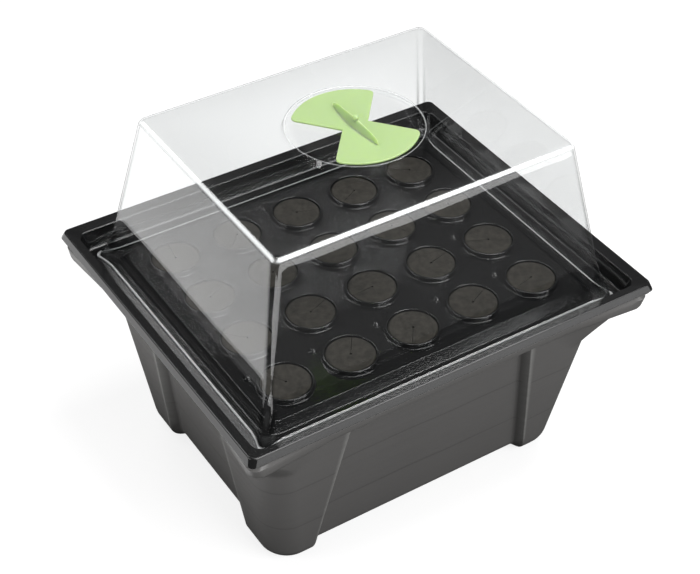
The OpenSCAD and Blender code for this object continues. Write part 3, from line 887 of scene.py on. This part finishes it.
@dataclass(frozen=True)
class PlantingTray:
    """The gloss black tray: rim, basin, ledge, deck, ringed cups and pips."""

    layout: Layout
    cup_r: float = 26.15
    cup_wall: float = 2.4
    cup_step: float = 5.0
    cup_flare: float = 1.6
    ring_h: float = 5.5
    seat_drop: float = 9.5
    pip_r: float = 4.5
    pip_h: float = 3.4
    pip_at: float = 27.0
    pip_foot: float = 1.0
    deck_in: float = -0.6
    under_in: float = -2.6
    lip_h: float = 9.0
    around: int = 72
    corner: int = 10
    side_y: int = 24
    side_x: int = 30

    @property
    def seat_z(self) -> float:
        """Height of the step that a collar rests on."""
        return self.layout.ledge_z - self.seat_drop

    def _loop(self, out: float, z: float, radius: float) -> list[Point]:
        """Loop at an offset from the deck's edge."""
        lay = self.layout
        return box_loop(lay.deck_x + out, lay.deck_y + out, radius, z, self.corner, self.side_y, self.side_x)

    def _radius(self, out: float) -> float:
        """Corner radius at an offset."""
        lay = self.layout
        inner = ((-2.0, 13.0), (0.0, 14.0), (lay.LEDGE_IN, 16.0))
        places = (*inner, (lay.LEDGE_OUT, 12.0), (lay.RIM_IN, 11.0), (lay.LIP_OUT, 6.0))
        for (a, ra), (b, rb) in zip(places, places[1:]):
            if out <= b:
                return mix(ra, rb, max(0.0, (out - a) / (b - a)))
        return places[-1][1]

    def _pan(self, d: Draft) -> None:
        """Adds the rim, the basin and the ledge, from the deck's top edge round to its underside."""
        lay, w = self.layout, self.layout.WALL
        deck, lip_z = lay.ledge_z + lay.DECK_RISE, lay.rim_z - self.lip_h
        flange = lay.fold_z - w
        corners = (
            (self.deck_in, deck, 0.0),
            (0.2, deck, 1.6),
            (lay.LEDGE_IN, lay.ledge_z, 3.5),
            (lay.LEDGE_OUT, lay.ledge_z, 3.0),
            (lay.RIM_IN, lay.fold_z, 1.6),
            (lay.RIM_OUT - 0.6, lay.rim_z, 1.3),
            (lay.LIP_OUT, lip_z, 0.4),
            (lay.LIP_OUT - w, lip_z, 0.4),
            (lay.lip_at(flange) - w, flange, 1.0),
            (lay.RIM_IN + w - 0.2, flange, 2.5),
            (lay.LEDGE_OUT + w, lay.ledge_z - w, 4.0),
            (lay.LEDGE_IN - 0.8, lay.ledge_z - w, 2.5),
            (-1.5, deck - w, 2.5),
            (self.under_in, deck - w, 0.0),
        )
        d.sweep(self._loop(out, z, self._radius(out)) for out, z in rounded(corners, 6))

    def _cup(self, d: Draft, at: Flat) -> None:
        """Adds one ringed cup, from the deck's top round to its underside."""
        deck = self.layout.ledge_z + self.layout.DECK_RISE
        out, step, w = self.cup_r + self.cup_wall, self.cup_r - self.cup_step, self.layout.WALL
        top = deck + self.ring_h
        corners = (
            (out + self.cup_flare, deck, 0.0),
            (out, deck, 1.2),
            (out - 0.2, top, 1.0),
            (self.cup_r, top, 0.8),
            (self.cup_r, self.seat_z, 0.6),
            (step, self.seat_z, 0.5),
            (step, self.seat_z - w, 0.5),
            (out, self.seat_z - w, 1.6),
            (out, deck - w, 1.2),
            (out + self.cup_flare, deck - w, 0.0),
        )
        d.sweep(ring(r, z, self.around, at) for r, z in rounded(corners, 4))

    def _pip(self, d: Draft, at: Flat) -> None:
        """Adds one domed pip on the deck."""
        deck = self.layout.ledge_z + self.layout.DECK_RISE
        base = self.pip_r - 0.1
        ball = (base ** 2 + self.pip_h ** 2) / (2 * self.pip_h)
        widest = math.asin(base / ball)
        profile = [(self.pip_r + self.pip_foot, deck), (base + 0.4, deck), (base + 0.1, deck + 0.15)]
        for k in range(10):
            a = mix(widest, 0.05, k / 9)
            profile.append((ball * math.sin(a), deck + self.pip_h - ball * (1 - math.cos(a))))
        rows = d.sweep(ring(r, z, 24, at) for r, z in profile)
        d.cap(rows[-1])

    def build(self) -> bpy.types.Object:
        """Makes the tray and dresses it.

        Returns:
            The tray's piece.
        """
        d = Draft()
        lay = self.layout
        deck = lay.ledge_z + lay.DECK_RISE
        self._pan(d)
        pips = [(x - self.pip_at, y + self.pip_at) for x, y in lay.sites]
        for at in lay.sites:
            self._cup(d, at)
        for at in pips:
            self._pip(d, at)
        mouth = self.cup_r + self.cup_wall + self.cup_flare
        rings = [ring(mouth, deck, self.around, at) for at in lay.sites]
        dots = [ring(self.pip_r + self.pip_foot, deck, 24, at) for at in pips]
        for inset, holes, z in ((self.deck_in, rings + dots, deck), (self.under_in, rings, deck - lay.WALL)):
            d.sheet(self._loop(inset, z, self._radius(inset)), holes, z)
        tray = d.to_object("tray_shell", 50.0)
        weigh_normals(tray)
        dress(tray, Finish.TRAY)
        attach(tray, "tray")
        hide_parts("site_tray")
        return tray


@dataclass(frozen=True)
class Collars:
    """The foam discs, each slit from its centre to its edge."""

    layout: Layout
    radius: float = 25.75
    bevel: float = 2.6
    slit: float = 0.5
    hole: float = 1.4
    seed: int = 7

    def _disc(self, name: str, at: Flat, low: float, high: float, turn: float) -> bpy.types.Object:
        """Makes one collar.

        Args:
            name: The piece's name.
            at: Its centre.
            low: Its underside's height.
            high: Its top's height.
            turn: The slit's direction in radians.

        Returns:
            The piece.
        """
        d = Draft()
        steps = 80
        profile = rounded(
            (
                (self.hole, low, 0.0),
                (self.radius, low, self.bevel),
                (self.radius, high, self.bevel),
                (self.hole, high, 0.0),
            ),
            4,
        )
        profile = spread(profile, 6, False)
        columns = []
        for k in range(steps + 1):
            column = []
            for r, z in profile:
                open_ = self.slit / max(r, self.hole * 2) / 2
                a = turn + open_ + (2 * math.pi - 2 * open_) * k / steps
                sag = -0.25 * math.exp(-((min(k, steps - k) / 2.5) ** 2)) if z > low + 2 else 0.0
                dish = -0.35 * (1 - (r / self.radius) ** 2) if z > low + 2 else 0.0
                column.append((at[0] + r * math.cos(a), at[1] + r * math.sin(a), z + sag + dish))
            columns.append(d.add(column))
        n = len(profile)
        for left, right in zip(columns, columns[1:]):
            d.faces += [(left[k], right[k], right[(k + 1) % n], left[(k + 1) % n]) for k in range(n)]
        d.cap(columns[0], flip=True)
        d.cap(columns[-1])
        return d.to_object(name, 55.0)

    def build(self) -> list[bpy.types.Object]:
        """Makes every collar.

        Returns:
            The pieces, one for each packed collar.
        """
        rng = random.Random(self.seed)
        pieces = []
        nodes = sorted(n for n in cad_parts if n.startswith("collar_"))
        for node, at in zip(nodes, self.layout.sites):
            low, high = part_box(node)
            disc = self._disc(node + "_foam", at, low.z / MM, high.z / MM, rng.uniform(0, 2 * math.pi))
            dress(disc, Finish.COLLAR)
            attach(disc, node)
            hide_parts(node)
            pieces.append(disc)
        return pieces


@dataclass(frozen=True)
class Dome:
    """The clear dome with its foot flange, corner lugs and raised vent seat."""

    layout: Layout
    wall: float = 1.6
    rise: float = 184.0
    foot_out: float = 17.0
    draft: float = 35.0
    corner_r: float = 9.0
    roof_r: float = 6.0
    flange_w: float = 2.2
    flange_t: float = 2.0
    flare_h: float = 55.0
    lug: float = 7.0
    seat_r: float = 70.5
    seat_rise: float = 5.0
    ring_h: float = 2.6
    ring_w: float = 1.5
    hub_r: float = 20.0
    opening_r: float = 59.5
    opening_half: float = 42.0
    pivot_r: float = 4.1
    foot_corner_r: float = 7.0
    lug_share: float = 0.7
    # Painted highlight on the foot flange and on the seat's ring.
    foot_highlight: float = 0.4
    ring_highlight: float = 0.35
    skirt_dull: float = 0.93
    # Strength of the painted shade on the folded corners and the lugs.
    painted_fold_shade: float = 0.85
    corner: int = 12
    side_y: int = 20
    side_x: int = 28

    @property
    def count(self) -> int:
        """Points in each loop."""
        return 4 * (self.corner + self.side_y + self.side_x)

    @property
    def roof_z(self) -> float:
        """Height of the flat roof."""
        return self.layout.ledge_z + self.rise

    def wall_out(self, z: float) -> float:
        """Offset of the wall's outer face at a height."""
        return self.foot_out - self.draft * (z - self.layout.ledge_z) / self.rise

    def _loop(self, out: float, z: float, skin: float) -> list[Point]:
        """Loop at an offset from the deck, with the corner flare low down."""
        lay = self.layout
        low = 1 - smoothstep(0.0, 1.0, (z - lay.ledge_z) / self.flare_h)
        shrink = max(0.0, self.wall_out(z) - skin - out)
        radius = max(mix(self.corner_r - skin, self.foot_corner_r - skin, low) - shrink * 0.6, 3.0)
        loop = box_loop(lay.deck_x + out, lay.deck_y + out, radius, z, self.corner, self.side_y, self.side_x)
        push = self.lug * low ** 2
        if push <= 0.01:
            return loop
        cx, cy = lay.deck_x + out - radius, lay.deck_y + out - radius
        moved = []
        for x, y, h in loop:
            dx, dy = abs(x) - cx, abs(y) - cy
            near = smoothstep(-14.0, 2.0, min(dx, dy)) * push
            step = near * self.lug_share
            moved.append((x + math.copysign(step, x), y + math.copysign(step, y), h))
        return moved

    def _shell(self, d: Draft, skin: float) -> list[list[int]]:
        """Adds the walls and the roof out to the seat, from the foot up.

        Args:
            d: The draft.
            skin: 0 for the outside and the wall's thickness for the inside.

        Returns:
            Each loop's point numbers.
        """
        foot_z, roof = self.layout.ledge_z, self.roof_z - skin
        wall_top = self.foot_out - self.draft - skin
        corners = [(wall_top, roof), (wall_top - 16.0, roof)]
        low = (self.foot_out - skin, foot_z)
        if skin:
            start = [(*low, 0.0)]
        else:
            start = [
                (self.foot_out + self.flange_w, foot_z, 0.0),
                (self.foot_out + self.flange_w, foot_z + self.flange_t, 0.7),
                (self.foot_out - 0.4, foot_z + self.flange_t, 1.2),
            ]
        r = max(self.roof_r - skin, 2.0)
        path = [*start, (*corners[0], r), (*corners[1], 0.0)]
        line = rounded(path, 8)
        rise = len(line) - 11
        a, b = line[rise], line[rise + 1]
        walls = [(mix(a[0], b[0], k / 14), mix(a[1], b[1], k / 14)) for k in range(1, 14)]
        line = line[: rise + 1] + walls + line[rise + 1 :]
        return d.sweep(self._loop(out, z, skin) for out, z in line)

    def _seat(self, d: Draft, skin: float) -> list[list[int]]:
        """Adds the raised seat's rings, from the roof in to the edge of the openings."""
        roof = self.roof_z - skin
        top = roof + self.seat_rise
        r = self.seat_r - skin
        if skin:
            corners = [(r + 6.0, roof, 0.0), (r + 3.0, roof, 1.2), (r, top, 0.8), (self.opening_r, top, 0.0)]
        else:
            corners = [
                (r + 6.0, roof, 0.0),
                (r + 3.6, roof, 1.4),
                (r + 0.2, top + self.ring_h, 0.7),
                (r - self.ring_w, top + self.ring_h, 0.6),
                (r - self.ring_w, top, 0.7),
                (self.opening_r, top, 0.0),
            ]
        return d.sweep(ring(radius, z, self.count) for radius, z in rounded(corners, 4))

    def _openings(self, d: Draft) -> None:
        """Adds the seat's floor, its two vent openings and the pivot hole."""
        top, low = self.roof_z + self.seat_rise, self.roof_z + self.seat_rise - self.wall
        radii = [self.opening_r, 52.0, 44.0, 36.0, 28.0, self.hub_r, 14.0, 9.0, self.pivot_r]
        n = self.count
        upper = [d.add(ring(r, top, n)) for r in radii]
        lower = [d.add(ring(r, low, n)) for r in radii]
        hub = radii.index(self.hub_r)

        def is_open(row: int, k: int) -> bool:
            """True where a vent opening passes through."""
            a = (k + 0.5) * 360 / n
            off = abs((a % 180) - 90)
            return row < hub and off < self.opening_half

        for row in range(len(radii) - 1):
            wall = ((upper, row), (upper, row + 1), (lower, row + 1), (lower, row))
            for k in range(n):
                q = (k + 1) % n
                if is_open(row, k):
                    for side, other in ((k - 1, k), (k + 1, q)):
                        if not is_open(row, side % n):
                            d.faces.append(tuple(loops[r][other] for loops, r in wall))
                    if row == 0:
                        d.faces.append((upper[0][k], upper[0][q], lower[0][q], lower[0][k]))
                    if row == hub - 1:
                        d.faces.append((upper[hub][k], upper[hub][q], lower[hub][q], lower[hub][k]))
                    continue
                d.faces.append((upper[row][k], upper[row][q], upper[row + 1][q], upper[row + 1][k]))
                d.faces.append((lower[row][k], lower[row][q], lower[row + 1][q], lower[row + 1][k]))
        d.bridge(upper[-1], lower[-1])

    def _edge(self, near: float, radius: float, z: float) -> float:
        """How much painted highlight the sheet gets: at the roof's folded edge, the foot's edge and the
        seat's ring.

        Args:
            near: Distance in from the nearer wall's outer face.
            radius: Distance from the vent's axis.
            z: Height.

        Returns:
            The painted highlight, from 0 to 1.
        """
        top, painted_highlight = self.roof_z, 0.0
        if z > top - self.roof_r and radius > self.seat_r + 8:
            painted_highlight = math.exp(-(((near - 1.2) / 1.8) ** 2)) * math.exp(-(((top - z - 1.2) / 1.8) ** 2))
        if z < self.layout.ledge_z + 2.6 and near < -0.4:
            painted_highlight = max(painted_highlight, self.foot_highlight)
        if z > top + self.seat_rise + 1.9 and radius < self.seat_r - 0.4:
            painted_highlight = max(painted_highlight, self.ring_highlight)
        return min(1.0, painted_highlight)

    def _fold_shade(self, wall_x: float, wall_y: float, up: float) -> float:
        """How much painted shade the folded corners and the lugs get, standing in for light that passes along
        the sheet there.

        Args:
            wall_x: Distance in from the short wall's outer face.
            wall_y: Distance in from the long wall's outer face.
            up: Height over the ledge.

        Returns:
            The painted shade, from 0 to 1.
        """
        low = 1 - smoothstep(0.0, 1.0, up / self.flare_h)
        reach = mix(self.corner_r, self.foot_corner_r, low)
        shift = self.lug * self.lug_share * low ** 2
        dx, dy = reach - wall_x + shift, reach - wall_y + shift
        turn = math.degrees(math.atan2(dy, dx)) if min(dx, dy) > 0 and up < self.rise - self.roof_r else 0.0
        line = math.exp(-(((abs(turn - 45.0) - 27.0) / 9.0) ** 2))
        fold = line * (self.painted_fold_shade * (1 - up / self.rise) ** 2.2 + 0.04) if turn > 0 else 0.0
        lug = self.painted_fold_shade if min(dx, dy) > 1.5 and 1.0 < up < 7.0 else 0.0
        return min(0.9, max(fold, lug))

    def _mark_edges(self, dome: bpy.types.Object) -> None:
        """Stores where the sheet gets painted highlight, painted shade or less gloss, for its finish."""
        lay = self.layout
        edge, thick, dull = (
            dome.data.attributes.new(name, "FLOAT", "POINT") for name in ("edge", "thick", "dull")
        )
        for point in dome.data.vertices:
            x, y, z = abs(point.co.x) / MM, abs(point.co.y) / MM, point.co.z / MM
            out, radius = self.wall_out(z), math.hypot(x, y)
            wall_x, wall_y = lay.deck_x + out - x, lay.deck_y + out - y
            # The edge attribute holds the painted highlight.
            edge.data[point.index].value = self._edge(min(wall_x, wall_y), radius, z)
            # The thick attribute holds painted shade at the folds and lugs, not the sheet's thickness.
            thick.data[point.index].value = self._fold_shade(wall_x, wall_y, z - lay.ledge_z)
            on_skirt = -2.5 < z - self.roof_z < self.seat_rise + 1.0 and -3.5 < radius - self.seat_r < 8.0
            dull.data[point.index].value = self.skirt_dull if on_skirt else 0.0

    def build(self) -> bpy.types.Object:
        """Makes the dome and dresses it.

        Returns:
            The dome's piece.
        """
        d = Draft()
        outer, inner = self._shell(d, 0.0), self._shell(d, self.wall)
        outer_seat, inner_seat = self._seat(d, 0.0), self._seat(d, self.wall)
        d.bridge(outer[-1], outer_seat[0])
        d.bridge(inner[-1], inner_seat[0])
        d.bridge(inner[0], outer[0])
        self._openings(d)
        dome = d.to_object("dome_shell", 50.0)
        weigh_normals(dome)
        self._mark_edges(dome)
        dress(dome, Finish.DOME)
        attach(dome, "dome")
        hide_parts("dome")
        return dome


@dataclass(frozen=True)
class Vent:
    """The green rotary vent: a bow-tie plate, a pinch fin and the pivot under it."""

    blade_r: float = 64.5
    waist: float = 15.0
    half: float = 50.0
    corner_r: float = 6.0
    thick: float = 2.2
    fin_l: float = 82.0
    fin_w: float = 9.0
    fin_h: float = 8.0
    ball_r: float = 3.6
    pivot_r: float = 4.0

    def _outline(self, inset: float) -> list[Flat]:
        """Outline of the bow-tie, pulled in by an inset."""
        far = self.blade_r - inset
        r = self.corner_r - inset
        a = math.radians(self.half)
        waist = Vector((self.waist - inset, 0.0))
        tip = Vector((far * math.sin(a), far * math.cos(a)))
        along = (tip - waist).normalized()
        side = Vector((-along.y, along.x))
        centre_d = far - r
        base = waist + side * r
        b = base.dot(along)
        t = -b + math.sqrt(b * b - base.dot(base) + centre_d * centre_d)
        centre = base + along * t
        start = math.atan2(-side.y, -side.x)
        end = math.atan2(centre.y, centre.x)
        turn = (end - start) % (2 * math.pi)
        quarter: list[Point] = [(waist.x, waist.y, 0.0)]
        for k in range(9):
            at = start + turn * k / 8
            quarter.append((centre.x + r * math.cos(at), centre.y + r * math.sin(at), 0.0))
        rest = math.pi / 2 - end
        for k in range(1, 25):
            at = end + rest * k / 24
            quarter.append((far * math.cos(at), far * math.sin(at), 0.0))
        return [(x, y) for x, y, _ in mirrored(quarter)]

    def _plate(self, d: Draft, low: float) -> None:
        """Adds the plate with rounded edges."""
        under = ((0.5, 0.0), (0.15, 0.15), (0.0, 0.5))
        steps = (*under, (0.0, self.thick - 0.8), (0.25, self.thick - 0.25), (0.8, self.thick))
        rows = d.sweep([(x, y, low + up) for x, y in self._outline(inset)] for inset, up in steps)
        d.cap(rows[0], flip=True)
        d.cap(rows[-1])

    def _fin(self, d: Draft, base: float) -> None:
        """Adds the lens-shaped pinch fin, thinner at its top."""
        rows = []
        for up in (-0.4, 0.6, 2.0, 4.0, 6.0, 7.2, self.fin_h):
            share = max(up, 0.0) / self.fin_h
            length = self.fin_l / 2 * (1 - 0.22 * share ** 3)
            width = self.fin_w / 2 * (1 - 0.84 * share) + (1.2 if up < 0.1 else 0.0)
            if up == self.fin_h:
                length, width = length - 2.0, width * 0.45
            loop = []
            for k in range(48):
                a = 2 * math.pi * k / 48
                along = math.sin(a)
                across = math.copysign(abs(math.cos(a)) ** 1.6, math.cos(a))
                loop.append((width * across, length * along, base + up - 1.4 * share * along * along))
            rows.append(loop)
        numbers = d.sweep(rows)
        d.cap(numbers[0], flip=True)
        d.cap(numbers[-1])

    def _ball(self, d: Draft, z: float) -> None:
        """Adds the small ball over the pivot."""
        rows = []
        for k in range(1, 12):
            a = math.pi * k / 12
            rows.append(ring(self.ball_r * math.sin(a), z - self.ball_r * math.cos(a), 28))
        numbers = d.sweep(rows)
        d.cap(numbers[0], flip=True)
        d.cap(numbers[-1])

    def build(self) -> bpy.types.Object:
        """Makes the vent disc and dresses it.

        Returns:
            The vent's piece.
        """
        low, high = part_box("vent_disc")
        clip_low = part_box("vent_clip")[0].z / MM
        ball_z = high.z / MM - self.ball_r
        plate = ball_z - self.fin_h - self.thick
        d = Draft()
        self._plate(d, plate)
        self._fin(d, plate + self.thick)
        self._ball(d, ball_z)
        heights = (clip_low - 0.2, plate, plate + 0.5)
        profile = [(3.2, clip_low - 1.0), *((self.pivot_r, z) for z in heights)]
        pin = d.sweep(ring(r, z, 32) for r, z in profile)
        d.cap(pin[0], flip=True)
        d.cap(pin[-1])
        disc = d.to_object("vent_moulding", 45.0, 0.0005)
        weigh_normals(disc)
        dress(disc, Finish.VENT)
        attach(disc, "vent")
        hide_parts("vent_disc")
        return disc


@dataclass(frozen=True)
class Fitting:
    """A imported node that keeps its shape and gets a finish."""

    node: str
    finish: Finish

    def build(self) -> None:
        """Puts the finish on the node."""
        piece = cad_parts[self.node]
        piece.data.materials.clear()
        piece.data.materials.append(self.finish.material())


FITTINGS: dict[Finish, tuple[str, ...]] = {
    Finish.VENT: ("vent_clip",),
    Finish.PUMP: ("pump_body", "pump_cover", "pump_strainer"),
    Finish.ROTOR: ("impeller",),
    Finish.SHAFT: ("impeller_shaft",),
    Finish.RUBBER: ("suction_cups", "cable_gland"),
    Finish.PIPE: ("riser_pipe", "manifold_tee", "cross_pipes", "bar_tees", "spray_bars", "end_caps"),
    Finish.NOZZLE: ("spray_nozzles",),
}


# ---- Studio ----


@dataclass(frozen=True)
class Softbox:
    """A rectangular area light aimed at a point."""

    name: str
    place: Point
    aim: Point
    width: float
    height: float
    power: float

    def build(self) -> None:
        """Makes the light."""
        lamp = bpy.data.lights.new(self.name, "AREA")
        lamp.shape = "RECTANGLE"
        lamp.size, lamp.size_y = self.width, self.height
        lamp.energy = self.power
        light = bpy.data.objects.new(self.name, lamp)
        light.location = self.place
        light.rotation_mode = "QUATERNION"
        light.rotation_quaternion = (Vector(self.aim) - Vector(self.place)).to_track_quat("-Z", "Y")
        light.visible_camera = False
        bpy.context.scene.collection.objects.link(light)


MIDDLE: Point = (0.0, 0.0, 0.25)
LIGHTS: tuple[Softbox, ...] = (
    Softbox("overhead_box", (0.55, -0.1, 2.0), (0.55, -0.1, 0.0), 1.3, 0.9, 34.0),
    Softbox("back_strip", (-0.55, 1.35, 2.0), MIDDLE, 1.7, 0.7, 15.0),
    Softbox("front_box", (0.6, -2.0, 1.6), MIDDLE, 2.0, 1.2, 62.0),
    Softbox("left_card", (-0.68, 0.45, 0.02), (-0.68, 0.45, 1.0), 0.74, 1.3, 5.2),
    Softbox("front_card", (-0.1, -1.48, 0.01), (-0.1, -1.48, 1.0), 3.0, 0.76, 18.0),
    Softbox("left_box", (-2.2, 0.2, 1.2), MIDDLE, 1.2, 1.0, 24.0),
)


@dataclass(frozen=True)
class Studio:
    """Camera, pale floor and soft light."""

    eye: Point = (-0.7285, -1.0930, 1.3063)
    look: Point = (0.42375, 0.63804, -0.64292)
    roll: float = 1.07
    lens: float = 82.91
    sensor: float = 36.0
    floor_half: float = 6.0
    sky: float = 0.13
    backdrop: float = 0.97
    paper_glow: float = 0.79

    def camera(self) -> None:
        """Makes the scene's camera."""
        data = bpy.data.cameras.new("studio_camera")
        data.lens, data.sensor_width = self.lens, self.sensor
        data.clip_start, data.clip_end = 0.05, 50.0
        cam = bpy.data.objects.new("studio_camera", data)
        cam.rotation_mode = "QUATERNION"
        level = Vector(self.look).to_track_quat("-Z", "Y")
        cam.rotation_quaternion = level @ Matrix.Rotation(math.radians(self.roll), 3, "Z").to_quaternion()
        cam.location = self.eye
        bpy.context.scene.collection.objects.link(cam)
        bpy.context.scene.camera = cam

    def _floor(self) -> None:
        """Makes the pale floor."""
        d = Draft()
        h = self.floor_half / MM
        d.cap(d.add([(-h, -h, 0.0), (h, -h, 0.0), (h, h, 0.0), (-h, h, 0.0)]))
        floor = d.to_object("studio_floor")
        s = Shader("studio_paper")
        white = s.node("ShaderNodeBsdfDiffuse", {}, {"Color": (0.26, 0.26, 0.26, 1.0)})
        glow = s.node("ShaderNodeEmission", {}, {"Color": (1.0, 1.0, 1.0, 1.0), "Strength": self.paper_glow})
        lit = s.node("ShaderNodeAddShader", {}, {0: white, 1: glow})
        dim = s.node("ShaderNodeBsdfDiffuse", {}, {"Color": (0.07, 0.07, 0.07, 1.0)})
        seen = s.node("ShaderNodeLightPath", output="Is Camera Ray")
        floor.data.materials.append(s.surface(s.node("ShaderNodeMixShader", {}, {0: seen, 1: dim, 2: lit})))

    def build(self) -> None:
        """Makes the floor, the sky and the lights."""
        self._floor()
        world = bpy.data.worlds.new("studio_sky")
        world.use_nodes = True
        tree = world.node_tree
        sky = tree.nodes["Background"]
        sky.inputs["Color"].default_value = (1.0, 1.0, 1.0, 1.0)
        seen = tree.nodes.new("ShaderNodeLightPath")
        level = tree.nodes.new("ShaderNodeMapRange")
        level.inputs["To Min"].default_value = self.sky
        level.inputs["To Max"].default_value = self.backdrop
        tree.links.new(seen.outputs["Is Camera Ray"], level.inputs["Value"])
        tree.links.new(level.outputs["Result"], sky.inputs["Strength"])
        bpy.context.scene.world = world
        bpy.context.scene.view_settings.view_transform = "Standard"
        for light in LIGHTS:
            light.build()



def main() -> None:
    """Builds the whole object in order and reports each piece."""
    logging.basicConfig(level=logging.INFO, format="%(name)s: %(message)s")
    studio = Studio()
    studio.camera()
    studio.build()
    layout = Layout.from_frame()
    makers: list[tuple[str, Callable[[], object]]] = [
        ("tank", Tank(layout).build),
        ("planting tray", PlantingTray(layout).build),
        ("collars", Collars(layout).build),
        ("dome", Dome(layout).build),
        ("vent", Vent().build),
    ]
    makers += [(node, Fitting(node, finish).build) for finish, nodes in FITTINGS.items() for node in nodes]
    for name, make in makers:
        made = make()
        LOG.info("%s: %s", name, made if made is not None else "dressed")


if __name__ == "__main__":
    main()
